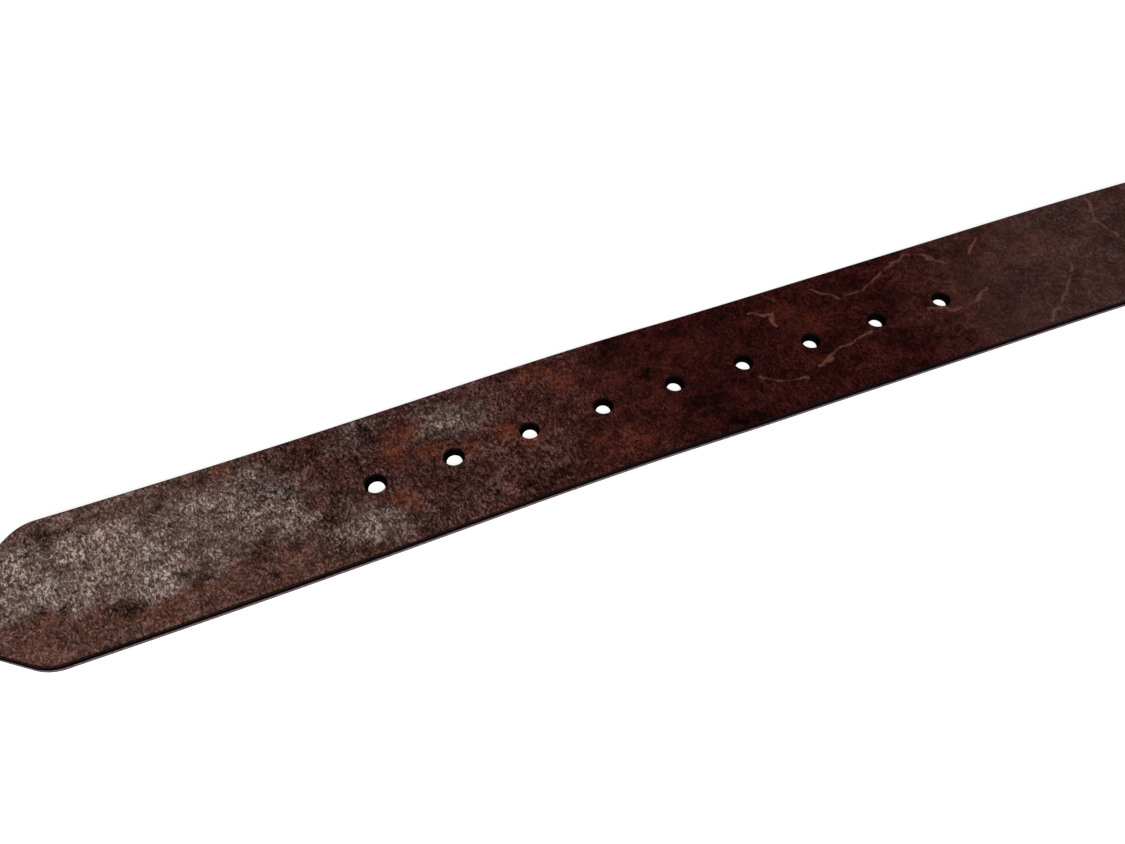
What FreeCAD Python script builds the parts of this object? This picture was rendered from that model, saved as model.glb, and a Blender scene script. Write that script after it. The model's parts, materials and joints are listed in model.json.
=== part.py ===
import FreeCAD, Part
import math
import os
from FreeCAD import Vector

# Belt-style guitar strap in two halves, lying on a flat surface at Z = 0.
# The tail half is a flat strap with a pointed tip and a row of adjusting holes.
# The shoulder half carries the roller buckle and lies beside it, folded in three.
# X runs along the strap, tip towards -X. The grain side of the leather faces up.
# The origin is the centre of the tail half's strap-button hole, on the flesh side.

# Leather
STRAP_WIDTH = 50.8
LEATHER = 3.2
LAYER_GAP = 0.2

# Adjusting holes and the pointed tip of the tail half
HOLE_COUNT = 9
HOLE_PITCH = 25.4
HOLE_DIAMETER = 6.0
WORN_HOLE_DIAMETERS = (6.6, 6.3)
HOLE_ROW_OFFSET = -0.8
BUTTON_TO_LAST_HOLE = 240.0
FIRST_HOLE_TO_SHOULDERS = 100.8
TIP_SLANT = 39.0
TIP_CORNER_RADIUS = 13.0
TIP_POINT_RADIUS = 14.0

# Strap-button holes, one in each half
BUTTON_HOLE_DIAMETER = 9.0
BUTTON_TO_END = 24.0
SLIT_WIDTH = 1.2
SLIT_LENGTH = 10.0

# How the tail half lies: a slight sideways bow and three shallow waves
BOW_RADIUS = 5115.0
END_FLAT = 42.0
END_WAVE = (90.0, 3.2)
LONG_WAVE = (200.0, -3.2)
HOLE_WAVES = ((65.0, 1.0), (70.0, -0.6))
TIP_LIFT_RADIUS = 1437.0

# How the shoulder half lies: two loose folds, lower left and upper right
FOLDED_Y = -72.0
LEFT_FOLD_X = -162.6
LEFT_FOLD_RADIUS = 17.0
RIGHT_FOLD_X = 88.0
RIGHT_FOLD_RADIUS = 20.0
SETTLE_RADIUS = 60.0
SHOULDER_BUTTON_X = 135.4

# Roller buckle: a wire frame turning on its heel bar inside the leather fold
WIRE = 5.0
HEEL_X = -58.0
FRAME_LENGTH = 36.0
FRAME_INNER_WIDTH = 52.0
HEEL_CORNER = 3.0
FRONT_CORNER = 8.0
HEEL_CLEARANCE = 0.3
HEEL_SETTLE_RADIUS = 15.0
ROLLER_DIAMETER = 8.0
ROLLER_LENGTH = 40.0
ROLLER_EDGE_ROUND = 0.7
RUNNING_CLEARANCE = 0.08
REST_CLEARANCE = 0.3

# Prong and its slot in the leather
PRONG_WIDTH = 4.6
PRONG_EYE_WALL = 1.9
PRONG_THICKNESS = 3.0
PRONG_REACH = 43.5
PRONG_BACK = 1.0
PRONG_PAST_BAR = 1.0
PRONG_ROOT = 5.0
PRONG_ROOT_SHARES = (0.97, 0.62)
PRONG_ARCHES = (1.0, 0.9)
PRONG_NOSE_DROP = 0.6
PRONG_NOSE_CUT = (1.6, 0.8)
PRONG_NOSE_CURVE = (1.7, 1.1)
SLOT_WIDTH = 8.0
SLOT_BACK = 15.0

# Chicago screws through both layers behind the buckle
SCREW_ROWS = (22.0, 56.0)
SCREW_SPREAD = 13.0
RETURN_LENGTH = 64.0
SCREW_HEAD_DIAMETER = 9.5
SCREW_HEAD_HEIGHT = 1.3
SCREW_HEAD_DOME_RADIUS = 12.0
SCREW_HEAD_EASE = 0.4
DRIVER_SLOT = (1.1, 0.7)
DRIVER_SLOT_ANGLES = (25.0, 47.0)
BORE_FLOOR = 0.8
SHANK_SHORT = 1.2
BARREL_DIAMETER = 5.2
SHANK_DIAMETER = 3.2
FIXING_CLEARANCE = 0.05

# Keeper loop between the two rows of screws, closed by two staples
KEEPER_WIDTH = 12.0
KEEPER_WALL = 2.0
KEEPER_SIDE_ROOM = 0.6
KEEPER_TOP_ROOM = 4.7
KEEPER_CORNER = 2.6
STAPLE_WIRE = 0.8
STAPLE_SPAN = 7.0
STAPLE_SPREAD = 6.0
STAPLE_LEG_SHORT = 0.4

# Heights and lengths that follow from the values above
HALF_WIDTH = STRAP_WIDTH / 2
HALF_LEATHER = LEATHER / 2
BUTTON_TO_SHOULDERS = BUTTON_TO_LAST_HOLE + HOLE_PITCH * (HOLE_COUNT - 1) + FIRST_HOLE_TO_SHOULDERS
TIP_LENGTH = HALF_WIDTH / math.tan(math.radians(TIP_SLANT))
POINT_CUT = TIP_POINT_RADIUS / math.sin(math.radians(TIP_SLANT)) - TIP_POINT_RADIUS
BUTTON_TO_TIP = BUTTON_TO_SHOULDERS + TIP_LENGTH - POINT_CUT
BOW_MIDDLE = (BUTTON_TO_TIP - BUTTON_TO_END) / 2
HEEL_FOLD_RADIUS = WIRE / 2 + HEEL_CLEARANCE + HALF_LEATHER
BOTTOM_Z = HALF_LEATHER
MIDDLE_Z = BOTTOM_Z + LEATHER + REST_CLEARANCE
HEEL_Z = MIDDLE_Z + HALF_LEATHER + REST_CLEARANCE + HALF_LEATHER + HEEL_FOLD_RADIUS
TOP_Z = HEEL_Z + HEEL_FOLD_RADIUS
RETURN_Z = TOP_Z - LEATHER - LAYER_GAP
MIDDLE_SURFACE = MIDDLE_Z + HALF_LEATHER
TOP_SURFACE = TOP_Z + HALF_LEATHER
RETURN_SURFACE = RETURN_Z - HALF_LEATHER
KEEPER_X = HEEL_X + sum(SCREW_ROWS) / 2
KEEPER_LOW = RETURN_SURFACE - REST_CLEARANCE
KEEPER_HIGH = TOP_SURFACE + KEEPER_TOP_ROOM
HEEL = Vector(HEEL_X, FOLDED_Y, HEEL_Z)
DROOP = math.degrees(math.asin((HEEL_Z - ROLLER_DIAMETER / 2 - REST_CLEARANCE - MIDDLE_SURFACE) / FRAME_LENGTH))
UP = Vector(0, 0, 1)
ACROSS = Vector(0, 1, 0)


def bend(radius, degrees):
    """A tangent arc as (length, turn), counter-clockwise when positive."""
    return radius * math.radians(abs(degrees)), degrees


def run(length):
    """A straight stretch as (length, turn)."""
    return length, 0.0


def wave(length, rise):
    """Two opposite arcs that climb by rise while the path heads towards -X."""
    radius = (length ** 2 + rise ** 2) / (4 * abs(rise))
    angle = math.degrees(math.asin(length / (2 * radius)))
    turn = -math.copysign(angle, rise)
    return [bend(radius, turn), bend(radius, -turn)]


def settle_angle(fold_radius, settle_radius, step):
    """How far a fold turns past 180 degrees before it settles step away from where it began."""
    drop = 2 * fold_radius - step
    return math.degrees(math.acos(1 - drop / (fold_radius + settle_radius)))


def stations(x, z, heading, steps):
    """The start, middle and end of each step, as (x, z, heading in radians)."""
    angle = math.radians(heading)
    result = []
    for length, turn in steps:
        row = []
        for share in (0.0, 0.5, 1.0):
            swept = math.radians(turn) * share
            if turn:
                radius = length / math.radians(turn)
                dx = radius * (math.sin(angle + swept) - math.sin(angle))
                dz = radius * (math.cos(angle) - math.cos(angle + swept))
            else:
                dx = length * share * math.cos(angle)
                dz = length * share * math.sin(angle)
            row.append((x + dx, z + dz, angle + swept))
        result.append(row)
        x, z, angle = row[2]
    return result


def offset_point(station, offset, y):
    """A point beside a station, offset to the left of the heading."""
    x, z, angle = station
    return Vector(x - math.sin(angle) * offset, y, z + math.cos(angle) * offset)


def leather_band(x, heading, steps, y, width):
    """A strip of leather that follows the steps in XZ and is width wide in Y."""
    rows = stations(x, BOTTOM_Z, heading, steps)
    low = y - width / 2
    edges = []
    for offset in (HALF_LEATHER, -HALF_LEATHER):
        for row, step in zip(rows, steps):
            first, middle, last = [offset_point(station, offset, low) for station in row]
            if step[1]:
                edges.append(Part.Arc(first, middle, last).toShape())
            else:
                edges.append(Part.makeLine(first, last))
    for station in (rows[0][0], rows[-1][2]):
        edges.append(Part.makeLine(offset_point(station, HALF_LEATHER, low),
                                   offset_point(station, -HALF_LEATHER, low)))
    wire = Part.Wire(Part.__sortEdges__(edges))
    return Part.Face(wire).extrude(Vector(0, width, 0))


def bowed(s, across):
    """The plan position of a point s along the bowed tail half and across its centre line."""
    angle = (s + BOW_MIDDLE) / BOW_RADIUS
    start = BOW_MIDDLE / BOW_RADIUS
    x = (BOW_RADIUS + across) * math.sin(angle) - BOW_RADIUS * math.sin(start)
    y = (BOW_RADIUS + across) * math.cos(angle) - BOW_RADIUS * math.cos(start)
    return Vector(x, y, 0)


def tip_side(side):
    """Points from the long edge to the rounded point: edge end, corner arc and slanted edge."""
    slant = math.radians(TIP_SLANT)
    tangent = TIP_CORNER_RADIUS * math.tan(slant / 2)
    centre_s = -BUTTON_TO_SHOULDERS + tangent
    centre_across = HALF_WIDTH - TIP_CORNER_RADIUS
    corner = []
    for share in (0.0, 0.5, 1.0):
        s = centre_s - TIP_CORNER_RADIUS * math.sin(slant * share)
        across = centre_across + TIP_CORNER_RADIUS * math.cos(slant * share)
        corner.append(bowed(s, side * across))
    point_s = -BUTTON_TO_TIP + TIP_POINT_RADIUS * (1 - math.sin(slant))
    point = bowed(point_s, side * TIP_POINT_RADIUS * math.cos(slant))
    return corner, point


def tail_outline():
    """The tail half seen from above: a round button end, two bowed edges and the point."""
    end_s = BUTTON_TO_END - HALF_WIDTH
    near_corner, near_point = tip_side(-1)
    far_corner, far_point = tip_side(1)
    middle_s = (end_s - BUTTON_TO_SHOULDERS) / 2
    edges = [
        Part.Arc(bowed(end_s, -HALF_WIDTH), bowed(BUTTON_TO_END, 0), bowed(end_s, HALF_WIDTH)).toShape(),
        Part.Arc(bowed(end_s, HALF_WIDTH), bowed(middle_s, HALF_WIDTH), far_corner[0]).toShape(),
        Part.Arc(*far_corner).toShape(),
        Part.makeLine(far_corner[2], far_point),
        Part.Arc(far_point, bowed(-BUTTON_TO_TIP, 0), near_point).toShape(),
        Part.makeLine(near_point, near_corner[2]),
        Part.Arc(near_corner[2], near_corner[1], near_corner[0]).toShape(),
        Part.Arc(near_corner[0], bowed(middle_s, -HALF_WIDTH), bowed(end_s, -HALF_WIDTH)).toShape(),
    ]
    return Part.Face(Part.Wire(edges))


def button_hole(x, y, height):
    """Cutter for a strap-button hole with a slit towards the end of the strap."""
    hole = Part.makeCylinder(BUTTON_HOLE_DIAMETER / 2, height, Vector(x, y, -1))
    slit = Part.makeBox(BUTTON_HOLE_DIAMETER / 2 + SLIT_LENGTH, SLIT_WIDTH, height,
                        Vector(x, y - SLIT_WIDTH / 2, -1))
    return hole.fuse(slit)


def make_tail_strap():
    """The tail half: one strap of leather with a pointed tip and a row of holes."""
    steps = [run(END_FLAT)] + wave(*END_WAVE) + wave(*LONG_WAVE)
    for hole_wave in HOLE_WAVES:
        steps += wave(*hole_wave)
    lift_angle = math.degrees((FIRST_HOLE_TO_SHOULDERS + TIP_LENGTH) / TIP_LIFT_RADIUS)
    steps.append(bend(TIP_LIFT_RADIUS, -lift_angle))
    blank_width = STRAP_WIDTH * 2
    band = leather_band(BUTTON_TO_END, 180, steps, 0, blank_width)
    height = 20.0
    outline = tail_outline()
    outline.translate(Vector(0, 0, -1))
    strap = band.common(outline.extrude(Vector(0, 0, height)))
    cutters = button_hole(0, 0, height)
    for index in range(HOLE_COUNT):
        from_tip = HOLE_COUNT - 1 - index
        worn = from_tip < len(WORN_HOLE_DIAMETERS)
        diameter = WORN_HOLE_DIAMETERS[from_tip] if worn else HOLE_DIAMETER
        place = bowed(-BUTTON_TO_LAST_HOLE - index * HOLE_PITCH, HOLE_ROW_OFFSET)
        place.z = -1
        cutters = cutters.fuse(Part.makeCylinder(diameter / 2, height, place))
    return strap.cut(cutters)


def shoulder_path():
    """The folded shoulder half from its button end to the end of the leather under the buckle."""
    left = settle_angle(LEFT_FOLD_RADIUS, SETTLE_RADIUS, MIDDLE_Z - BOTTOM_Z)
    right = settle_angle(RIGHT_FOLD_RADIUS, SETTLE_RADIUS, TOP_Z - MIDDLE_Z)
    heel = settle_angle(HEEL_FOLD_RADIUS, HEEL_SETTLE_RADIUS, TOP_Z - RETURN_Z)
    left_end = LEFT_FOLD_X + (LEFT_FOLD_RADIUS + SETTLE_RADIUS) * math.sin(math.radians(left))
    right_end = RIGHT_FOLD_X - (RIGHT_FOLD_RADIUS + SETTLE_RADIUS) * math.sin(math.radians(right))
    heel_reach = (HEEL_FOLD_RADIUS + HEEL_SETTLE_RADIUS) * math.sin(math.radians(heel))
    return [
        run(SHOULDER_BUTTON_X + BUTTON_TO_END - LEFT_FOLD_X),
        bend(LEFT_FOLD_RADIUS, -180 - left),
        bend(SETTLE_RADIUS, left),
        run(RIGHT_FOLD_X - left_end),
        bend(RIGHT_FOLD_RADIUS, 180 + right),
        bend(SETTLE_RADIUS, -right),
        run(right_end - HEEL_X),
        bend(HEEL_FOLD_RADIUS, 180 + heel),
        bend(HEEL_SETTLE_RADIUS, -heel),
        run(RETURN_LENGTH - heel_reach),
    ]


def screw_places():
    """The centre of each screw in plan."""
    places = []
    for row in SCREW_ROWS:
        for side in (-1, 1):
            places.append((HEEL_X + row, FOLDED_Y + side * SCREW_SPREAD))
    return places


def make_shoulder_strap():
    """The shoulder half: folded strap, round button end, prong slot and screw holes."""
    end_x = SHOULDER_BUTTON_X + BUTTON_TO_END
    strap = leather_band(end_x, 180, shoulder_path(), FOLDED_Y, STRAP_WIDTH)
    round_x = end_x - HALF_WIDTH
    corner_block = Part.makeBox(HALF_WIDTH + 1, STRAP_WIDTH + 2, LEATHER + 2,
                                Vector(round_x, FOLDED_Y - HALF_WIDTH - 1, -1))
    disc = Part.makeCylinder(HALF_WIDTH, LEATHER + 2, Vector(round_x, FOLDED_Y, -1))
    strap = strap.cut(corner_block.cut(disc))
    strap = strap.cut(button_hole(SHOULDER_BUTTON_X, FOLDED_Y, LEATHER + 2))
    slot_low = MIDDLE_SURFACE + REST_CLEARANCE / 2
    slot_height = TOP_SURFACE + 1 - slot_low
    slot_back_x = HEEL_X + SLOT_BACK - SLOT_WIDTH / 2
    slot = Part.makeBox(slot_back_x - HEEL_X + 2 * HEEL_FOLD_RADIUS, SLOT_WIDTH, slot_height,
                        Vector(HEEL_X - 2 * HEEL_FOLD_RADIUS, FOLDED_Y - SLOT_WIDTH / 2, slot_low))
    slot = slot.fuse(Part.makeCylinder(SLOT_WIDTH / 2, slot_height, Vector(slot_back_x, FOLDED_Y, slot_low)))
    strap = strap.cut(slot)
    for x, y in screw_places():
        barrel_hole = Part.makeCylinder(BARREL_DIAMETER / 2 + FIXING_CLEARANCE, slot_height,
                                        Vector(x, y, slot_low))
        strap = strap.cut(barrel_hole)
    return strap


def make_screw_posts():
    """Four posts from below, each a flat head with a tapped barrel."""
    posts = []
    for x, y in screw_places():
        head_z = RETURN_SURFACE - SCREW_HEAD_HEIGHT
        head = Part.makeCylinder(SCREW_HEAD_DIAMETER / 2, SCREW_HEAD_HEIGHT, Vector(x, y, head_z))
        under_edges = [edge for edge in head.Edges if abs(edge.BoundBox.ZMax - head_z) < 1e-6]
        head = head.makeFillet(SCREW_HEAD_EASE, under_edges)
        barrel_height = TOP_SURFACE - RETURN_SURFACE - REST_CLEARANCE
        barrel = Part.makeCylinder(BARREL_DIAMETER / 2, barrel_height, Vector(x, y, RETURN_SURFACE))
        bore = Part.makeCylinder(SHANK_DIAMETER / 2 + FIXING_CLEARANCE, barrel_height,
                                 Vector(x, y, RETURN_SURFACE + BORE_FLOOR))
        posts.append(head.fuse(barrel).cut(bore))
    return Part.Compound(posts)


def make_screws():
    """Four slotted screws from above, each a low domed head with a short shank."""
    screws = []
    slot_width, slot_depth = DRIVER_SLOT
    first_angle, next_angle = DRIVER_SLOT_ANGLES
    head_radius = SCREW_HEAD_DIAMETER / 2
    head_top = TOP_SURFACE + SCREW_HEAD_HEIGHT
    shank_length = TOP_SURFACE - RETURN_SURFACE - SHANK_SHORT
    for index, (x, y) in enumerate(screw_places()):
        head = Part.makeCylinder(head_radius, SCREW_HEAD_HEIGHT, Vector(x, y, TOP_SURFACE))
        dome = Part.makeSphere(SCREW_HEAD_DOME_RADIUS, Vector(x, y, head_top - SCREW_HEAD_DOME_RADIUS))
        head = head.common(dome)
        slot = Part.makeBox(SCREW_HEAD_DIAMETER, slot_width, SCREW_HEAD_HEIGHT,
                            Vector(-head_radius, -slot_width / 2, 0))
        slot.rotate(Vector(0, 0, 0), UP, first_angle + next_angle * index)
        slot.translate(Vector(x, y, head_top - slot_depth))
        shank = Part.makeCylinder(SHANK_DIAMETER / 2, shank_length, Vector(x, y, TOP_SURFACE - shank_length))
        screws.append(head.cut(slot).fuse(shank))
    return Part.Compound(screws)


def set_down(shape):
    """Turn a buckle piece about the heel bar until the roller rests on the leather below."""
    shape.rotate(HEEL, ACROSS, -DROOP)
    return shape


def make_buckle_frame():
    """A closed wire frame: heel bar, two side bars and the front bar under the roller."""
    side_y = FRAME_INNER_WIDTH / 2 + WIRE / 2
    corners = [(0.0, -side_y, HEEL_CORNER), (0.0, side_y, HEEL_CORNER),
               (-FRAME_LENGTH, side_y, FRONT_CORNER), (-FRAME_LENGTH, -side_y, FRONT_CORNER)]
    edges = []
    ends = []
    for x, y, radius in corners:
        inner = Vector(x + math.copysign(radius, -x - 1), y - math.copysign(radius, y), 0)
        on_bar = Vector(x, inner.y, 0)
        on_side = Vector(inner.x, y, 0)
        middle = inner + (Vector(x, y, 0) - inner).normalize() * radius
        edges.append(Part.Arc(on_bar, middle, on_side).toShape())
        ends.append((on_bar, on_side))
    edges.append(Part.makeLine(ends[0][0], ends[1][0]))
    edges.append(Part.makeLine(ends[1][1], ends[2][1]))
    edges.append(Part.makeLine(ends[2][0], ends[3][0]))
    edges.append(Part.makeLine(ends[3][1], ends[0][1]))
    path = Part.Wire(Part.__sortEdges__(edges))
    section = Part.Wire(Part.makeCircle(WIRE / 2, ends[0][0], ACROSS))
    frame = path.makePipeShell([section], True, False)
    frame.translate(HEEL)
    return set_down(frame)


def make_buckle_roller():
    """A tube that turns on the front bar, its ends rolled in a little."""
    axis_point = HEEL + Vector(-FRAME_LENGTH, -ROLLER_LENGTH / 2, 0)
    tube = Part.makeCylinder(ROLLER_DIAMETER / 2, ROLLER_LENGTH, axis_point, ACROSS)
    outer_rims = [edge for edge in tube.Edges if edge.Curve.TypeId == "Part::GeomCircle"]
    tube = tube.makeFillet(ROLLER_EDGE_ROUND, outer_rims)
    bore = Part.makeCylinder(WIRE / 2 + RUNNING_CLEARANCE, ROLLER_LENGTH, axis_point, ACROSS)
    return set_down(tube.cut(bore))


def make_buckle_prong():
    """A flat prong whose eye turns on the heel bar and whose tip rests over the roller."""
    eye_inner = WIRE / 2 + RUNNING_CLEARANCE
    eye_outer = eye_inner + PRONG_EYE_WALL
    under = ROLLER_DIAMETER / 2 + REST_CLEARANCE
    over = under + PRONG_THICKNESS

    def at(forward, up):
        return Vector(-forward, 0, up)

    middle = FRAME_LENGTH / 2
    front = FRAME_LENGTH + PRONG_PAST_BAR
    nose = under - PRONG_NOSE_DROP
    back_share, root_share = PRONG_ROOT_SHARES
    top_arch, under_arch = PRONG_ARCHES
    cut_back, cut_down = PRONG_NOSE_CUT
    curve_back, curve_down = PRONG_NOSE_CURVE
    top_back = at(-PRONG_BACK, eye_outer * back_share)
    top_front = at(front, over)
    tip = at(PRONG_REACH, nose)
    tip_under = at(PRONG_REACH - cut_back, nose - cut_down)
    under_front = at(front, under)
    under_back = at(PRONG_ROOT, eye_outer * root_share)
    in_eye = at(-PRONG_BACK, eye_inner)
    edges = [
        Part.Arc(top_back, at(middle, over + top_arch), top_front).toShape(),
        Part.Arc(top_front, at(PRONG_REACH - curve_back, over - curve_down), tip).toShape(),
        Part.makeLine(tip, tip_under),
        Part.makeLine(tip_under, under_front),
        Part.Arc(under_front, at(middle, under + under_arch), under_back).toShape(),
        Part.makeLine(under_back, in_eye),
        Part.makeLine(in_eye, top_back),
    ]
    half = PRONG_WIDTH / 2
    profile = Part.Face(Part.Wire(edges))
    profile.translate(Vector(0, -half, 0))
    shaft = profile.extrude(Vector(0, PRONG_WIDTH, 0))
    eye = Part.makeCylinder(eye_outer, PRONG_WIDTH, Vector(0, -half, 0), ACROSS)
    bore = Part.makeCylinder(eye_inner, PRONG_WIDTH, Vector(0, -half, 0), ACROSS)
    prong = shaft.fuse(eye).cut(bore)
    prong.translate(HEEL)
    return set_down(prong)


def rounded_section(width, low, high, radius):
    """A rounded rectangle in the YZ plane, centred on Y = 0."""
    half = width / 2
    corners = [(half, low), (half, high), (-half, high), (-half, low)]
    edges = []
    points = []
    for y, z in corners:
        centre = Vector(0, y - math.copysign(radius, y), z + (radius if z == low else -radius))
        on_side = Vector(0, y, centre.z)
        on_flat = Vector(0, centre.y, z)
        middle = centre + (Vector(0, y, z) - centre).normalize() * radius
        edges.append(Part.Arc(on_side, middle, on_flat).toShape())
        points.append((on_side, on_flat))
    edges.append(Part.makeLine(points[0][0], points[1][0]))
    edges.append(Part.makeLine(points[1][1], points[2][1]))
    edges.append(Part.makeLine(points[2][0], points[3][0]))
    edges.append(Part.makeLine(points[3][1], points[0][1]))
    return Part.Face(Part.Wire(Part.__sortEdges__(edges)))


def make_staples():
    """Two flat wire staples under the keeper, crowns along the strap's width."""
    staples = []
    for side in (-1, 1):
        x = KEEPER_X + side * STAPLE_SPREAD / 2 - STAPLE_WIRE / 2
        crown = Part.makeBox(STAPLE_WIRE, STAPLE_SPAN, STAPLE_WIRE,
                             Vector(x, FOLDED_Y - STAPLE_SPAN / 2, KEEPER_LOW - KEEPER_WALL - STAPLE_WIRE / 2))
        staple = crown
        for leg_y in (FOLDED_Y - STAPLE_SPAN / 2, FOLDED_Y + STAPLE_SPAN / 2 - STAPLE_WIRE):
            leg = Part.makeBox(STAPLE_WIRE, STAPLE_WIRE, KEEPER_WALL - STAPLE_LEG_SHORT,
                               Vector(x, leg_y, KEEPER_LOW - KEEPER_WALL))
            staple = staple.fuse(leg)
        staples.append(staple.removeSplitter())
    return Part.Compound(staples)


def make_keeper_loop():
    """A leather loop around both layers, with room above them for the tail half."""
    inner_width = STRAP_WIDTH + 2 * KEEPER_SIDE_ROOM
    outer = rounded_section(inner_width + 2 * KEEPER_WALL, KEEPER_LOW - KEEPER_WALL,
                            KEEPER_HIGH + KEEPER_WALL, KEEPER_CORNER)
    inner = rounded_section(inner_width, KEEPER_LOW, KEEPER_HIGH, KEEPER_CORNER - KEEPER_WALL)
    loop = outer.cut(inner).extrude(Vector(KEEPER_WIDTH, 0, 0))
    loop.translate(Vector(KEEPER_X - KEEPER_WIDTH / 2, FOLDED_Y, 0))
    return loop.cut(make_staples())


NODES = {
    "tail_strap": make_tail_strap,
    "shoulder_strap": make_shoulder_strap,
    "screw_posts": make_screw_posts,
    "screws": make_screws,
    "buckle_frame": make_buckle_frame,
    "buckle_roller": make_buckle_roller,
    "buckle_prong": make_buckle_prong,
    "keeper_loop": make_keeper_loop,
    "keeper_staples": make_staples,
}

os.makedirs("parts", exist_ok=True)
for name, make in NODES.items():
    shape = make()
    box = shape.BoundBox
    print(f"{name}: {len(shape.Solids)} solids, valid {shape.isValid()}, {shape.Volume:.0f} mm3, "
          f"x {box.XMin:.1f}..{box.XMax:.1f} y {box.YMin:.1f}..{box.YMax:.1f} z {box.ZMin:.2f}..{box.ZMax:.2f}")
    shape.exportStep(f"parts/{name}.step")
print(f"heel bar at {HEEL}, droop {DROOP:.3f} degrees, top surface {TOP_SURFACE:.2f}")
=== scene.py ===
import json
import math
from types import SimpleNamespace

import bpy
import numpy as np
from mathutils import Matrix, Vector
from mathutils.geometry import delaunay_2d_cdt
from mathutils.kdtree import KDTree


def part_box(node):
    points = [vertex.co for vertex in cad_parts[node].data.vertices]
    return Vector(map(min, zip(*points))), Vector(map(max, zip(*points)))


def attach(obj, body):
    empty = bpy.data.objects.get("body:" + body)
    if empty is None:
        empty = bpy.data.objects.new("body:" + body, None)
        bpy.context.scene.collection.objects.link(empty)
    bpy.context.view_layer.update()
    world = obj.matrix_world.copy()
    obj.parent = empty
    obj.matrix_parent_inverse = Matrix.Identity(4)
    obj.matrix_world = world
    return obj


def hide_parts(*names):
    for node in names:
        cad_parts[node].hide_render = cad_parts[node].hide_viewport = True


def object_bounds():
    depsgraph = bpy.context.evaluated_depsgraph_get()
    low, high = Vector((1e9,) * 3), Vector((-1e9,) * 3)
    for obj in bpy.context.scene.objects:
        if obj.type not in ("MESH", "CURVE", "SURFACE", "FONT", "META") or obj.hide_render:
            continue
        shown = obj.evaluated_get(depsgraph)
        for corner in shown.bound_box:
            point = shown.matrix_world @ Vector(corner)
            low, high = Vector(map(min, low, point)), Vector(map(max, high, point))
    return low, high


# Looks of a belt-style leather guitar strap in two halves. Lengths of leather are in
# millimetres and turn into metres where a mesh is made, in leather_object. Lights, camera
# and floor are in metres.

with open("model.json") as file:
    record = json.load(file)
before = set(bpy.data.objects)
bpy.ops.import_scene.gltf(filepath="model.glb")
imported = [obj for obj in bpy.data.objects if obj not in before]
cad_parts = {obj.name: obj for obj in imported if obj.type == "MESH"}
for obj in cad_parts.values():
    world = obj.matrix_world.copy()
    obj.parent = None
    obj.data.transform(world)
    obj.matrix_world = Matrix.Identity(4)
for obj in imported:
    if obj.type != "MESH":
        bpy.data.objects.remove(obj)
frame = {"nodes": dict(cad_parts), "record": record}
cad_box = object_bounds()
MM = 0.001


def in_mm(metres):
    return round(metres / MM, 3)


def named(rows, name):
    """The record's row of that name."""
    return next(row for row in rows if row["name"] == name)


# Leather, as it was cut and as it lies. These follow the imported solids. In a flat cut, s
# runs along the leather and across is to its left.
STRAP_WIDTH = 50.8
HALF_WIDTH = STRAP_WIDTH / 2
LEATHER = 3.2
HALF_LEATHER = LEATHER / 2
BUTTON_TO_END = 24.0
BUTTON_HOLE_RADIUS = 4.5
SLIT_WIDTH = 1.2
SLIT_LENGTH = 10.0

HOLE_COUNT = 9
HOLE_PITCH = 25.4
HOLE_RADIUS = 3.0
WORN_HOLE_RADII = (3.3, 3.15)
HOLE_ROW_OFFSET = -0.8
HOLE_TAPER = 0.7
BUTTON_TO_LAST_HOLE = 240.0
FIRST_HOLE_TO_SHOULDERS = 100.8
BUTTON_TO_SHOULDERS = BUTTON_TO_LAST_HOLE + HOLE_PITCH * (HOLE_COUNT - 1) + FIRST_HOLE_TO_SHOULDERS
TIP_SLANT = math.radians(39.0)
TIP_CORNER_RADIUS = 13.0
TIP_POINT_RADIUS = 14.0
TIP_LENGTH = HALF_WIDTH / math.tan(TIP_SLANT)
BUTTON_TO_TIP = BUTTON_TO_SHOULDERS + TIP_LENGTH - TIP_POINT_RADIUS / math.sin(TIP_SLANT) + TIP_POINT_RADIUS
BOW_RADIUS = 5115.0
BOW_MIDDLE = (BUTTON_TO_TIP - BUTTON_TO_END) / 2
END_FLAT = 42.0
WAVES = ((90.0, 3.2), (200.0, -3.2), (65.0, 1.0), (70.0, -0.6))
TIP_LIFT_RADIUS = 1437.0

HEEL_X, FOLDED_Y, HEEL_Z = map(in_mm, named(frame["record"]["behaviour"]["joints"], "buckle_hinge")["pos_m"])
LEFT_FOLD_RADIUS = 17.0
LEFT_FOLD_X = in_mm(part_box("shoulder_strap")[0].x) + HALF_LEATHER + LEFT_FOLD_RADIUS
RIGHT_FOLD_X = 88.0
RIGHT_FOLD_RADIUS = 20.0
SETTLE_RADIUS = 60.0
SHOULDER_BUTTON_X = in_mm(named(frame["record"]["mounts"], "shoulder_button_hole")["pos_m"][0])
WIRE = 5.0
HEEL_CLEARANCE = 0.3
REST_CLEARANCE = 0.3
LAYER_GAP = 0.2
HEEL_SETTLE_RADIUS = 15.0
RETURN_LENGTH = 64.0
HEEL_FOLD_RADIUS = WIRE / 2 + HEEL_CLEARANCE + HALF_LEATHER
MIDDLE_Z = HALF_LEATHER + LEATHER + REST_CLEARANCE
TOP_Z = HEEL_Z + HEEL_FOLD_RADIUS
RETURN_Z = TOP_Z - LEATHER - LAYER_GAP
SLOT_WIDTH = 8.0
SLOT_BACK = 15.0
SCREW_ROWS = (22.0, 56.0)
SCREW_SPREAD = 13.0
BARREL_HOLE_RADIUS = 2.65


# ---------------------------------------------------------------- paths

def bend(radius, degrees):
    """A tangent arc as (length, turn in radians), counter-clockwise when positive."""
    return radius * math.radians(abs(degrees)), math.radians(degrees)


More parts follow.
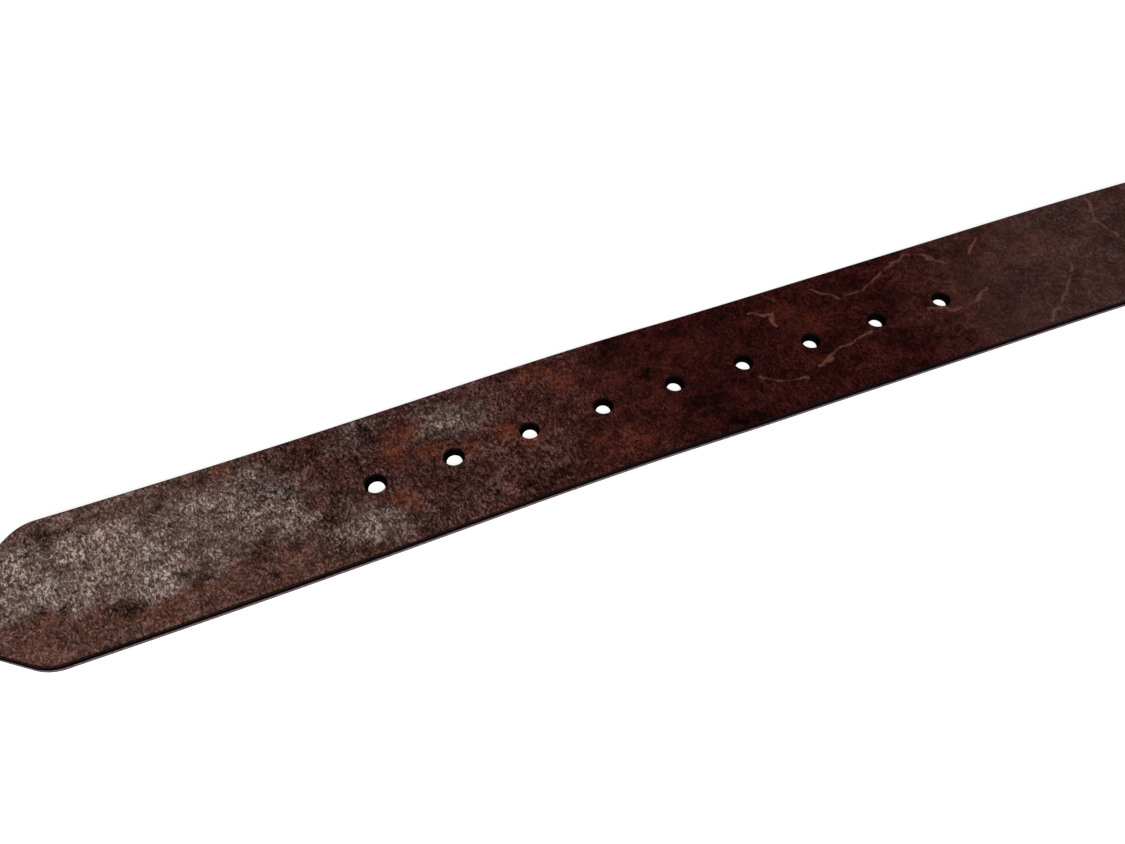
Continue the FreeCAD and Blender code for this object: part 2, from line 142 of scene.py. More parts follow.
def run(length):
    """A straight stretch as (length, turn)."""
    return length, 0.0


def wave(length, rise):
    """Two opposite arcs that climb by rise while the path heads towards -X."""
    radius = (length ** 2 + rise ** 2) / (4 * abs(rise))
    angle = math.degrees(math.asin(length / (2 * radius)))
    turn = -math.copysign(angle, rise)
    return [bend(radius, turn), bend(radius, -turn)]


def settle_angle(fold_radius, settle_radius, step):
    """How far a fold turns past 180 degrees before it settles step away from where it began."""
    drop = 2 * fold_radius - step
    return math.degrees(math.acos(1 - drop / (fold_radius + settle_radius)))


class Path:
    """Straight runs and tangent arcs in a plane with z up, from a point and heading."""

    def __init__(self, x, z, heading, steps):
        state = (x, z, heading)
        self.steps = []
        done = 0.0
        for length, turn in steps:
            self.steps.append((done, length, turn, state))
            x, z, angle = self.advance(state, length, turn, np.array([1.0]))
            state = (float(x[0]), float(z[0]), float(angle[0]))
            done += length
        self.length = done

    @staticmethod
    def advance(state, length, turn, share):
        x, z, angle = state
        swept = turn * share
        if turn:
            radius = length / turn
            return (x + radius * (np.sin(angle + swept) - math.sin(angle)),
                    z + radius * (math.cos(angle) - np.cos(angle + swept)), angle + swept)
        return (x + length * share * math.cos(angle), z + length * share * math.sin(angle),
                angle + 0 * share)

    def at(self, distance):
        """x, z and heading at each distance along the centre line."""
        distance = np.asarray(distance, float)
        x, z, angle = np.zeros_like(distance), np.zeros_like(distance), np.zeros_like(distance)
        for index, (start, length, turn, state) in enumerate(self.steps):
            here = distance >= start if index else np.ones(distance.shape, bool)
            values = self.advance(state, length, turn, (distance[here] - start) / length)
            x[here], z[here], angle[here] = values
        return x, z, angle


def tail_path():
    """The tail half from its button end, over its waves, to the lifted tip."""
    steps = [run(END_FLAT)]
    for length, rise in WAVES:
        steps += wave(length, rise)
    lift = (FIRST_HOLE_TO_SHOULDERS + TIP_LENGTH) / TIP_LIFT_RADIUS
    steps.append(bend(TIP_LIFT_RADIUS, -math.degrees(lift)))
    return Path(BUTTON_TO_END, HALF_LEATHER, math.pi, steps)


def shoulder_path():
    """The folded shoulder half, from its button end to the leather's end under the buckle."""
    left = settle_angle(LEFT_FOLD_RADIUS, SETTLE_RADIUS, MIDDLE_Z - HALF_LEATHER)
    right = settle_angle(RIGHT_FOLD_RADIUS, SETTLE_RADIUS, TOP_Z - MIDDLE_Z)
    heel = settle_angle(HEEL_FOLD_RADIUS, HEEL_SETTLE_RADIUS, TOP_Z - RETURN_Z)
    left_end = LEFT_FOLD_X + (LEFT_FOLD_RADIUS + SETTLE_RADIUS) * math.sin(math.radians(left))
    right_end = RIGHT_FOLD_X - (RIGHT_FOLD_RADIUS + SETTLE_RADIUS) * math.sin(math.radians(right))
    heel_reach = (HEEL_FOLD_RADIUS + HEEL_SETTLE_RADIUS) * math.sin(math.radians(heel))
    return Path(SHOULDER_BUTTON_X + BUTTON_TO_END, HALF_LEATHER, math.pi, [
        run(SHOULDER_BUTTON_X + BUTTON_TO_END - LEFT_FOLD_X),
        bend(LEFT_FOLD_RADIUS, -180 - left),
        bend(SETTLE_RADIUS, left),
        run(RIGHT_FOLD_X - left_end),
        bend(RIGHT_FOLD_RADIUS, 180 + right),
        bend(SETTLE_RADIUS, -right),
        run(right_end - HEEL_X),
        bend(HEEL_FOLD_RADIUS, 180 + heel),
        bend(HEEL_SETTLE_RADIUS, -heel),
        run(RETURN_LENGTH - heel_reach),
    ])


TAIL = tail_path()
SHOULDER = shoulder_path()


def place_tail(s, across, height):
    """The tail half's flat cut (s from the button hole, across) laid out as it lies."""
    angle = (s + BOW_MIDDLE) / BOW_RADIUS
    x = (BOW_RADIUS + across) * np.sin(angle) - BOW_RADIUS * math.sin(BOW_MIDDLE / BOW_RADIUS)
    y = (BOW_RADIUS + across) * np.cos(angle) - BOW_RADIUS * math.cos(BOW_MIDDLE / BOW_RADIUS)
    z, heading = TAIL.at(BUTTON_TO_END - x)[1:]
    return np.stack([x + np.sin(heading) * height, y, z - np.cos(heading) * height], axis=-1)


def place_shoulder(s, across, height):
    """The shoulder half's flat cut (s from its button end, across) folded as it lies."""
    x, z, heading = SHOULDER.at(s)
    y = FOLDED_Y + across
    return np.stack([x + np.sin(heading) * height, y, z - np.cos(heading) * height], axis=-1)


# ---------------------------------------------------------------- noise

HASH_X, HASH_Y, HASH_SEED, HASH_MIX = 374761393, 668265263, 144665, 1274126177
HASH_BITS = 0x7FFFFFFF


def lattice_noise(x, y, seed):
    """Smooth noise from -1 to 1 with one lattice cell per unit."""
    cell_x, cell_y = np.floor(x).astype(np.int64), np.floor(y).astype(np.int64)
    part_x, part_y = x - cell_x, y - cell_y
    part_x, part_y = part_x * part_x * (3 - 2 * part_x), part_y * part_y * (3 - 2 * part_y)

    def corner(i, j):
        mixed = (i * HASH_X + j * HASH_Y + seed * HASH_SEED) & HASH_BITS
        mixed = ((mixed ^ (mixed >> 13)) * HASH_MIX) & HASH_BITS
        mixed = mixed ^ (mixed >> 16)
        return (mixed & 0xFFFF) / 32767.5 - 1

    low = corner(cell_x, cell_y) * (1 - part_x) + corner(cell_x + 1, cell_y) * part_x
    high = corner(cell_x, cell_y + 1) * (1 - part_x) + corner(cell_x + 1, cell_y + 1) * part_x
    return low * (1 - part_y) + high * part_y


def layered_noise(x, y, size, seed, layers=4):
    """Layers of noise, each half the size and half the strength of the last."""
    total, strength = np.zeros_like(x), 1.0
    for layer in range(layers):
        turn = 0.6 * layer
        u = (x * math.cos(turn) - y * math.sin(turn)) / size
        v = (x * math.sin(turn) + y * math.cos(turn)) / size
        total += strength * lattice_noise(u, v, seed + layer)
        size, strength = size / 2, strength / 2
    return total


def near_line(s, across, points, width):
    """1 on a line through points and 0 from width away, with a soft edge."""
    nearest = np.full(s.shape, 1e9)
    for (s0, a0), (s1, a1) in zip(points[:-1], points[1:]):
        ds, da = s1 - s0, a1 - a0
        share = np.clip(((s - s0) * ds + (across - a0) * da) / (ds * ds + da * da), 0, 1)
        nearest = np.minimum(nearest, np.hypot(s - s0 - share * ds, across - a0 - share * da))
    return np.clip(1 - nearest / width, 0, 1)


def near_patch(s, across, centre, size):
    """1 at the middle of an oval patch and 0 outside it."""
    reach = np.hypot((s - centre[0]) / size[0], (across - centre[1]) / size[1])
    soft = np.clip(1 - reach, 0, 1)
    return soft * soft * (3 - 2 * soft)


# ---------------------------------------------------------------- flat cutting patterns

def arc(centre, radius, start, turn, count):
    """Points on an arc from angle start, swept by turn, both ends included."""
    return [(centre[0] + radius * math.cos(start + turn * i / count),
             centre[1] + radius * math.sin(start + turn * i / count)) for i in range(count + 1)]


def closed(points, spacing):
    """A closed loop with points added so that none are further apart than spacing."""
    loop = []
    for (s0, a0), (s1, a1) in zip(points, points[1:] + points[:1]):
        length = math.hypot(s1 - s0, a1 - a0)
        if length < 1e-6:
            continue
        count = max(1, math.ceil(length / spacing))
        loop += [(s0 + (s1 - s0) * i / count, a0 + (a1 - a0) * i / count) for i in range(count)]
    return loop


def tail_outline():
    """Counter-clockwise: round button end, far edge, rounded point, near edge."""
    tangent = TIP_CORNER_RADIUS * math.tan(TIP_SLANT / 2)
    corner_s = -BUTTON_TO_SHOULDERS + tangent
    corner_across = HALF_WIDTH - TIP_CORNER_RADIUS
    quarter = math.pi / 2
    points = arc((BUTTON_TO_END - HALF_WIDTH, 0), HALF_WIDTH, -quarter, math.pi, 90)
    points += arc((corner_s, corner_across), TIP_CORNER_RADIUS, quarter, TIP_SLANT, 24)
    points += arc((-BUTTON_TO_TIP + TIP_POINT_RADIUS, 0), TIP_POINT_RADIUS, quarter + TIP_SLANT,
                  math.pi - 2 * TIP_SLANT, 40)
    points += arc((corner_s, -corner_across), TIP_CORNER_RADIUS, -quarter - TIP_SLANT, TIP_SLANT, 24)
    return points


def shoulder_outline():
    """Counter-clockwise, s growing from the round button end."""
    quarter = math.pi / 2
    points = arc((HALF_WIDTH, 0), HALF_WIDTH, quarter, math.pi, 90)
    return points + [(SHOULDER.length, -HALF_WIDTH), (SHOULDER.length, HALF_WIDTH)]


def keyhole(button_s, towards_end):
    """A strap-button hole with a slit that runs towards the end of the strap."""
    half = math.asin(SLIT_WIDTH / 2 / BUTTON_HOLE_RADIUS)
    start = half if towards_end > 0 else math.pi + half
    points = arc((button_s, 0), BUTTON_HOLE_RADIUS, start, 2 * (math.pi - half), 60)
    slit_s = button_s + towards_end * (BUTTON_HOLE_RADIUS + SLIT_LENGTH)
    quarter = math.pi / 2
    first = -quarter if towards_end > 0 else quarter
    return points + arc((slit_s - towards_end * SLIT_WIDTH / 2, 0), SLIT_WIDTH / 2, first, math.pi, 8)


def round_hole(s, across, radius, count=48):
    return arc((s, across), radius, 0, 2 * math.pi * (count - 1) / count, count - 1)


def oblong(s0, s1, width):
    """A slot with round ends, from s0 to s1."""
    half = width / 2
    return (arc((s1 - half, 0), half, -math.pi / 2, math.pi, 16)
            + arc((s0 + half, 0), half, math.pi / 2, math.pi, 16))


# ---------------------------------------------------------------- leather meshes

EDGE_ROUND = 0.5
FLESH_ROUND_SHARE = 0.6
RIM_WIDTH = 0.9
INSETS = (0.1, 0.25, 0.42, 0.65, 1.1)
INSET_KEPT = 0.93
GRID_CLEARANCE = 0.45
COLUMN_STEP = 0.87
RIM_SPACING = 0.6
WALL_ROWS = 5
FLESH_COARSENESS = 2.6
SAME_POINT = 1e-5


def distance_to_rims(points, loops):
    """Distance from each point to the nearest rim, and whether that rim is the outline."""
    before, after, owner, samples = [], [], [], []
    for index, loop in enumerate(loops):
        loop = np.array(loop)
        samples.append(loop)
        before.append(np.roll(loop, 1, axis=0))
        after.append(np.roll(loop, -1, axis=0))
        owner.append(np.full(len(loop), index))
    samples, before, after, owner = map(np.concatenate, (samples, before, after, owner))
    tree = KDTree(len(samples))
    for index, (s, across) in enumerate(samples):
        tree.insert((s, across, 0), index)
    tree.balance()
    nearest = np.array([tree.find((s, across, 0))[1] for s, across in points])
    distance = np.full(len(points), 1e9)
    for start, end in ((before[nearest], samples[nearest]), (samples[nearest], after[nearest])):
        along = end - start
        share = ((points - start) * along).sum(axis=1) / (along ** 2).sum(axis=1)
        foot = start + along * np.clip(share, 0, 1)[:, None]
        distance = np.minimum(distance, np.linalg.norm(points - foot, axis=1))
    return distance, owner[nearest] == 0


def interior_points(outline, spacing):
    """Staggered columns of points over the outline's box, spacing(s) apart."""
    (low_s, low_across), (high_s, high_across) = np.min(outline, axis=0), np.max(outline, axis=0)
    columns, s, odd = [], low_s, False
    while s < high_s:
        step = spacing(s)
        across = np.arange(low_across + step * (0.25 + 0.5 * odd), high_across, step)
        columns.append(np.stack([np.full(len(across), s), across], axis=1))
        s += step * COLUMN_STEP
        odd = not odd
    return np.concatenate(columns)


def flat_triangles(loops, insets, spacing):
    """Triangles of a flat piece: loops are its rims, the outline first, then each hole."""
    rims, edges, count = [], [], 0
    for loop in loops:
        rims.append(list(range(count, count + len(loop))))
        edges += [(count + i, count + (i + 1) % len(loop)) for i in range(len(loop))]
        count += len(loop)
    rim_points = np.concatenate([np.array(loop) for loop in loops])
    inner = []
    for index, loop in enumerate(loops):
        for inset in insets:
            moved = inset_loop(loop, inset, -1 if index else 1)
            distance = distance_to_rims(moved, loops)[0]
            inner.append(moved[distance > INSET_KEPT * inset])
    grid = interior_points(loops[0], spacing)
    grid = grid[inside_loop(grid, loops[0])]
    for loop in loops[1:]:
        grid = grid[~inside_loop(grid, loop)]
    clear = distance_to_rims(grid, loops)[0] > insets[-1] + GRID_CLEARANCE
    points = np.concatenate([rim_points] + inner + [grid[clear]])
    result = delaunay_2d_cdt([Vector(p) for p in points.tolist()], edges, [], 1, SAME_POINT, True)
    flat, faces, origins = result[0], np.array(result[2]), result[3]
    flat = np.array([tuple(p) for p in flat])
    made_from = {first: new for new, origin in enumerate(origins) for first in origin}
    rims = [np.array([made_from[i] for i in rim]) for rim in rims]
    owner = np.full(len(flat), -1)
    for index, rim in enumerate(rims[1:]):
        owner[rim] = index
    owners = owner[faces]
    filling = (owners.min(axis=1) >= 0) & (owners.min(axis=1) == owners.max(axis=1))
    centres = flat[faces].mean(axis=1)
    for index, loop in enumerate(loops[1:]):
        candidates = np.flatnonzero(filling & (owners[:, 0] == index))
        filling[candidates] = inside_loop(centres[candidates], np.array(loop))
    return flat, faces[~filling], rims


def inset_loop(loop, distance, side):
    """The loop's points moved into the leather; side is 1 for an outline and -1 for a hole."""
    points = np.array(loop)
    along = np.roll(points, -1, axis=0) - np.roll(points, 1, axis=0)
    along /= np.linalg.norm(along, axis=1)[:, None]
    return points + np.stack([-along[:, 1], along[:, 0]], axis=1) * distance * side


def inside_loop(points, loop):
    """Which points lie inside a closed loop, by counting crossings of a line along s."""
    loop = np.array(loop)
    in_box = np.all((points > loop.min(axis=0)) & (points < loop.max(axis=0)), axis=1)
    s, across = points[in_box].T
    crossed = np.zeros(len(s), bool)
    for (s0, a0), (s1, a1) in zip(loop, np.roll(loop, -1, axis=0)):
        if a0 != a1:
            crossed ^= ((a0 > across) != (a1 > across)) & (s < (s1 - s0) * (across - a0) / (a1 - a0) + s0)
    inside = np.zeros(len(points), bool)
    inside[in_box] = crossed
    return inside


def edge_drop(inset):
    """How far the surface falls where the cut edge is rounded over."""
    inside = np.clip(EDGE_ROUND - inset, 0, EDGE_ROUND)
    return EDGE_ROUND - np.sqrt(EDGE_ROUND ** 2 - inside ** 2)


class Leather:
    """Points of a piece of leather as cut: s and across in the flat, height off its middle."""

    def __init__(self):
        self.points, self.rims, self.outer = [], [], []
        self.polygons, self.kinds = [], []
        self.count = 0

    def add_points(self, s, across, height, rim, outer):
        """Returns the numbers of the new points. rim fades from 1 at a cut edge to 0."""
        self.points.append(np.stack([s, across, height], axis=1))
        self.rims.append(rim)
        self.outer.append(np.asarray(outer, float) + 0 * s)
        numbers = np.arange(self.count, self.count + len(s))
        self.count += len(s)
        return numbers

    def add_polygons(self, corners, kind):
        self.polygons += corners.tolist()
        self.kinds += [kind] * len(corners)


def leather_piece(name, loops, spacing, place, relief, marks, materials, half=HALF_LEATHER, taper=0.0):
    """A cut piece of leather with rounded edges. materials are for grain, flesh and edges.

    Holes are narrower by taper, all round, where they come out on the flesh side.
    """
    cut = Leather()
    loops = [closed(loop, RIM_SPACING) for loop in loops]
    flat, faces, top_rims = flat_triangles(loops, INSETS, spacing)
    s, across = flat.T
    inset, outer = distance_to_rims(flat, loops)
    height = half - edge_drop(inset) + relief(s, across) * np.clip(inset / EDGE_ROUND, 0.1, 1)
    cut.add_points(s, across, height, np.clip(1 - inset / RIM_WIDTH, 0, 1), outer)
    cut.add_polygons(faces, 0)
    low_loops = loops[:1] + [inset_loop(loop, -taper, -1) for loop in loops[1:]]
    coarse, faces, low_rims = flat_triangles(low_loops, INSETS[1:4:2],
                                             lambda s: spacing(s) * FLESH_COARSENESS)
    inset, outer = distance_to_rims(coarse, low_loops)
    low_height = -half + edge_drop(inset) * FLESH_ROUND_SHARE
    numbers = cut.add_points(*coarse.T, low_height, np.clip(1 - inset / RIM_WIDTH, 0, 1), outer)
    cut.add_polygons(numbers[faces[:, ::-1]], 1)
    for index, (top, low) in enumerate(zip(top_rims, low_rims)):
        rows = [top]
        for share in np.arange(1, WALL_ROWS) / WALL_ROWS:
            wall = flat[top] * (1 - share) + coarse[low] * share
            between = height[top] * (1 - share) + low_height[low] * share
            rows.append(cut.add_points(*wall.T, between, np.ones(len(top)), index == 0))
        rows.append(numbers[low])
        for upper, lower in zip(rows[:-1], rows[1:]):
            quads = np.stack([upper, lower, np.roll(lower, -1), np.roll(upper, -1)], axis=1)
            cut.add_polygons(quads if index == 0 else quads[:, ::-1], 2)
    return leather_object(name, cut, place, marks, materials)


def leather_object(name, cut, place, marks, materials):
    """The mesh of a cut piece, laid out by place, with its wear and painted sheen as attributes for the
    materials.
    """
    points = np.concatenate(cut.points)
    s, across, height = points.T
    placed = place(s, across, height)
    up = place(s[:1], across[:1], height[:1] + 1) - placed[:1]
    a, b, c = placed[cut.polygons[0]]
    mirrored = np.dot(np.cross(b - a, c - a), up[0]) < 0
    polygons = [p[::-1] if mirrored else p for p in cut.polygons]
    mesh = bpy.data.meshes.new(name)
    mesh.from_pydata((placed * MM).tolist(), [], polygons)
    values = {"rim": np.concatenate(cut.rims), "outer": np.concatenate(cut.outer)}
    values.update(marks(s, across))
    for mark, value in values.items():
        mesh.attributes.new(mark, "FLOAT", "POINT").data.foreach_set("value", value.astype(np.float32))
    vectors = mesh.attributes.new("cut", "FLOAT_VECTOR", "POINT")
    vectors.data.foreach_set("vector", points.astype(np.float32).ravel())
    for material in materials:
        mesh.materials.append(material)
    mesh.polygons.foreach_set("material_index", cut.kinds)
    mesh.polygons.foreach_set("use_smooth", [True] * len(cut.kinds))
    mesh.update()
    piece = bpy.data.objects.new(name, mesh)
    bpy.context.scene.collection.objects.link(piece)
    return piece


# ---------------------------------------------------------------- wear and painted sheen on the tail half

# A line is its strength and its points, and a patch its centre and half size, as (s, across).
VEINS = (
    (0.8, ((-305, 18), (-301, 16), (-297.5, 15), (-299, 9.5))),
    (0.4, ((-296, 24.5), (-294, 20))),
    (0.5, ((-314, -8.6), (-310, -11.8), (-305, -13.6), (-300, -14.3))),
    (1.0, ((-294, -12.4), (-287.5, -9.3))),
    (0.6, ((-287.5, -9.3), (-280, -6.8), (-270, -4.9))),
    (0.5, ((-279.4, 19.5), (-276, 15.8), (-273, 13.6))),
    (0.4, ((-271, 13), (-264, 13.4), (-257.5, 15))),
    (0.6, ((-257.5, 15), (-251, 18.6), (-245, 21.4), (-240, 22), (-235, 18.9), (-229, 13.9))),
    (0.7, ((-246, -2.4), (-241, -4.9), (-236, -7.4))),
    (0.8, ((-232.5, -7.4), (-227, -4.2), (-222.5, -2.4))),
    (0.9, ((-219, 14.5), (-216, 17), (-213, 20))),
    (1.0, ((-164, 24), (-164, 21.4), (-167, 14.5), (-167.5, 9.5))),
    (0.7, ((-167.5, 9.5), (-166, 3.3), (-164, -1), (-166, -7))),
    (0.3, ((-167, 12), (-172, 11.5), (-178, 12.5), (-184, 13))),
    (0.7, ((-189, -3), (-190.6, -6.8), (-194, -10.5), (-200, -15), (-205, -19), (-210.6, -23.6))),
    (0.4, ((-194, -10.5), (-190, -11), (-187.5, -13.3))),
)
RUST = (
    ((-430, 14), (4.5, 3.4)), ((-434, 8), (6, 6)), ((-438, -10), (4, 5)), ((-421, 3), (5, 4)),
    ((-413, -1), (5, 2.5)), ((-398, 2), (6, 3.4)), ((-393, -4.5), (4, 3)), ((-375, 14), (7, 4)),
    ((-373, -12), (4, 3.5)), ((-382, 20), (7, 3)), ((-514, 4.5), (3, 2)), ((-486, 23), (5, 2.4)),
    ((-345, 6), (8, 5)), ((-362, -17), (9, 4)), ((-331, 12), (7, 5)), ((-290, -10), (4, 2.6)),
    ((-287, 6), (8, 6)), ((-293, 14), (6, 5)), ((-217, 17), (4, 3)), ((-196, 10), (7, 6)),
)
STAINS = (
    ((-479, -20), (1.8, 1.5)), ((-460, -7), (2.2, 2)), ((-470, 7), (3, 2.4)), ((-466, 25), (3, 1.5)),
    ((-356, 21), (3, 3.5)), ((-349, 5), (6, 3.5)), ((-337, -12), (8, 3)), ((-441, 17), (2, 7)),
    ((-507, 15), (5, 2)), ((-540, 18), (5, 3)), ((-521, -14), (6, 3)), ((-480, -11), (5, 3)),
    ((-395, -20), (7, 4)), ((-325, -22), (9, 3)),
)
CRACKS = (
    (1.0, ((-512, 8), (-503, 9.6), (-494, 9), (-488, 7), (-482, 6))),
    (0.9, ((-553, 10), (-546, 13), (-538, 17), (-531, 18))),
    (0.8, ((-441, 23), (-442, 17), (-446, 11), (-446, 4))),
    (1.0, ((-451, -2), (-455, 1), (-458, -4))),
    (0.8, ((-506, -7), (-500, -12), (-494, -16))),
    (0.9, ((-409, -14), (-410, -20), (-412, -24))),
    (0.9, ((-480.5, -18), (-478.5, -20), (-477.5, -21.5))),
    (0.9, ((-461, -5), (-459.5, -7.5), (-458.5, -5.5))),
    (0.7, ((-473, 8.5), (-470, 6), (-468, 7.5))),
    (0.7, ((-549, -8), (-545, -6), (-541, -9), (-537, -8))),
    (0.6, ((-530, 6), (-526, 3), (-527, -2))),
)


def smooth_step(value, low, high):
    share = np.clip((value - low) / (high - low), 0, 1)
    return share * share * (3 - 2 * share)


def lines_mark(s, across, lines, width):
    """Each line's strength along it, wandering and broken, and 0 away from the lines."""
    drift_s = layered_noise(s, across, 4.0, 31, 3) * 0.9
    drift_across = layered_noise(s, across, 4.0, 47, 3) * 0.9
    broken = np.clip(0.8 + 0.5 * layered_noise(s, across, 3.0, 53, 2), 0.15, 1)
    mark = np.zeros_like(s)
    for strength, points in lines:
        line = near_line(s + drift_s, across + drift_across, points, width)
        mark = np.maximum(mark, strength * line * broken)
    return mark


def patches_mark(s, across, patches):
    """1 in ragged patches, 0 away from them."""
    drift = layered_noise(s, across, 5.0, 59, 4)
    mark = np.zeros_like(s)
    for centre, size in patches:
        reach = (size[0] * 1.6, size[1] * 1.6)
        mark = np.maximum(mark, near_patch(s + drift * 2.2, across - drift * 1.8, centre, reach))
    return mark


def grain_strength(s, across):
    """How deep the pebbled grain is: bold near the tip, nearly smooth at the far end."""
    ragged = layered_noise(s, across, 14.0, 5, 3)
    return 0.2 + 0.4 * smooth_step(-s, 300, 390) + 0.4 * smooth_step(-s + 8 * ragged, 400, 470)


def dust_and_sheen_mark(s, across):
    """Where the worn finish is dusty and greyed, with painted sheen and highlights: the tip, and islands as
    far as the holes.
    """
    ragged = layered_noise(s, across, 13.0, 11, 4)
    low_side = smooth_step(across + 5 * ragged, -19, -5)
    high_side = 1 - 0.35 * smooth_step(across + 4 * ragged, 14, 22)
    tip = smooth_step(-s + 9 * ragged, 452, 474) * (0.12 + 0.88 * low_side) * high_side
    # This term is partly scuffing and partly painted sheen with glints, between the holes and the tip.
    scuffed_and_glinting = 0.30 * smooth_step(-s + 10 * ragged, 350, 415)
    middle = smooth_step(across + 6 * ragged, -14, 0) * smooth_step(-across + 5 * ragged, -19, -9)
    brightest = smooth_step(-s + 16 * ragged, 505, 550) * middle
    island = near_patch(s + 4 * ragged, across, (-415, 13), (27, 18)) * 0.75
    lower = near_patch(s, across + 4 * ragged, (-449, -15), (36, 19)) * 0.75
    upper = near_patch(s, across + 4 * ragged, (-444, 20), (30, 15)) * 0.55
    # The faint late term is painted sheen at the button end.
    late = smooth_step(s + 12 * ragged, -232, -180) * 0.1
    patches = np.maximum(np.maximum(island, lower), np.maximum(upper, scuffed_and_glinting))
    return np.clip(np.maximum(tip * 0.72 + 0.35 * brightest, patches) + late, 0, 1)


def tail_marks(s, across):
    """Colour, wear and painted sheen from the tan, scuffed tip to the brown-black button end."""
    ragged = layered_noise(s, across, 22.0, 3, 4)
    return {
        "grain": grain_strength(s, across),
        "dust_and_sheen": dust_and_sheen_mark(s, across),
        "tan": smooth_step(-s + 8 * ragged - 0.7 * across, 446, 492),
        "maroon": smooth_step(s + 10 * ragged, -385, -338) * (1 - 0.5 * smooth_step(s, -262, -225)),
        "late": smooth_step(s + 10 * ragged - 0.4 * across, -262, -200),
        "rust": patches_mark(s, across, RUST) * (1 - 0.75 * smooth_step(s, -392, -360)),
        "stain": np.maximum(0.8 * patches_mark(s, across, STAINS), lines_mark(s, across, CRACKS, 1.0)),
        "vein": lines_mark(s, across, VEINS, 0.8),
    }


def wrinkles(s, across, size, seed):
    """Thin creases that run mostly across the strap, 1 in a crease."""
    waves = layered_noise(s / (0.42 * size), across / (1.3 * size), 1.0, seed, 2)
    return np.clip(1 - np.abs(waves) / 0.22, 0, 1)


def tail_relief(s, across):
    """Height of the grain side over flat, in mm."""
    strength = grain_strength(s, across)
    broad = 0.14 * layered_noise(s, across, 26.0, 71, 2)
    pebbles = 0.05 * strength * layered_noise(s, across / 2.0, 1.3, 83, 2)
    creases = -0.09 * strength * wrinkles(s, across, 5.0, 97)
    fine = -0.05 * strength * wrinkles(s, across, 2.6, 101)
    veins = 0.20 * lines_mark(s, across, VEINS, 1.15)
    cracks = -0.22 * lines_mark(s, across, CRACKS, 1.0)
    pits = -0.12 * patches_mark(s, across, STAINS[:3])
    return broad + pebbles + creases + fine + veins + cracks + pits


def plain_marks(s, across):
    """Wear for leather that is handled less: a smooth grain with a few rubbed areas, which carry painted
    sheen and glints.
    """
    ragged = layered_noise(s, across, 30.0, 7, 4)
    return {
        "grain": 0.25 + 0.15 * np.clip(ragged, -1, 1),
        "dust_and_sheen": 0.35 * smooth_step(ragged, 0.1, 0.9),
        "tan": 0 * s,
        "maroon": smooth_step(layered_noise(s, across, 45.0, 13, 3), -0.6, 0.5),
        "late": smooth_step(layered_noise(s, across, 38.0, 17, 3), -0.3, 0.7),
        "rust": 0.5 * smooth_step(layered_noise(s, across, 11.0, 19, 4), 0.75, 1.3),
        "stain": 0.8 * smooth_step(layered_noise(s, across, 9.0, 23, 4), 0.9, 1.5),
        "vein": 0 * s,
    }


def plain_relief(s, across):
    return 0.07 * layered_noise(s, across, 24.0, 73, 2) - 0.03 * wrinkles(s, across, 6.0, 103)


# ---------------------------------------------------------------- materials

class Paint:
    """A material and short ways to add nodes to it."""

    def __init__(self, name):
        self.material = bpy.data.materials.new(name)
        self.material.use_nodes = True
        self.tree = self.material.node_tree
        self.shader = self.tree.nodes["Principled BSDF"]

    def give(self, node, name, value):
        """Links value to the input if it is a socket, and sets it if it is a constant."""
        socket = node.inputs[name]
        if isinstance(value, bpy.types.NodeSocket):
            self.tree.links.new(value, socket)
        elif socket.type == "RGBA" and len(value) == 3:
            socket.default_value = (*value, 1)
        else:
            socket.default_value = value

    def add(self, kind, inputs, output=0, **settings):
        node = self.tree.nodes.new(f"ShaderNode{kind}")
        for name, value in settings.items():
            setattr(node, name, value)
        for name, value in inputs.items():
            self.give(node, name, value)
        return node.outputs[output]

    def finish(self, **inputs):
        """Sets the shader's sockets; an underscore in a name stands for a space."""
        for name, value in inputs.items():
            self.give(self.shader, name.replace("_", " "), value)
        return self.material

    def mark(self, name, output="Fac"):
        return self.add("Attribute", {}, output, attribute_name=name)

    def math(self, operation, a, b=0.0, clamp=False):
        return self.add("Math", {0: a, 1: b}, operation=operation, use_clamp=clamp)

    def times(self, product, *factors):
        for factor in factors:
            product = self.math("MULTIPLY", product, factor)
        return product

    def scale(self, vector, by):
        return self.add("VectorMath", {0: vector, "Scale": by}, operation="SCALE")

    def mix(self, share, a, b):
        return self.add("Mix", {0: share, 6: a, 7: b}, 2, data_type="RGBA")

    def ramp(self, value, low, high, to_low=0.0, to_high=1.0):
        sockets = {"Value": value, "From Min": low, "From Max": high, "To Min": to_low, "To Max": to_high}
        return self.add("MapRange", sockets, interpolation_type="SMOOTHSTEP")

    def noise(self, place, scale, detail=4.0, roughness=0.55):
        sockets = {"Vector": place, "Scale": scale, "Detail": detail, "Roughness": roughness}
        return self.add("TexNoise", sockets)

    def stretch(self, place, scale):
        return self.add("VectorMath", {0: place, 1: scale}, operation="MULTIPLY")

    def bend_place(self, place, scale, by):
        """place moved about by noise, so that patterns laid on it wander."""
        drift = self.add("TexNoise", {"Vector": place, "Scale": scale, "Detail": 2.0}, "Color")
        centred = self.add("VectorMath", {0: drift, 1: (0.5, 0.5, 0.5)}, operation="SUBTRACT")
        return self.add("VectorMath", {0: place, 1: self.scale(centred, by)}, operation="ADD")

    def bump(self, height, depth, normal=None):
        sockets = {"Height": height, "Distance": depth, "Strength": 1.0}
        if normal is not None:
            sockets["Normal"] = normal
        return self.add("Bump", sockets)


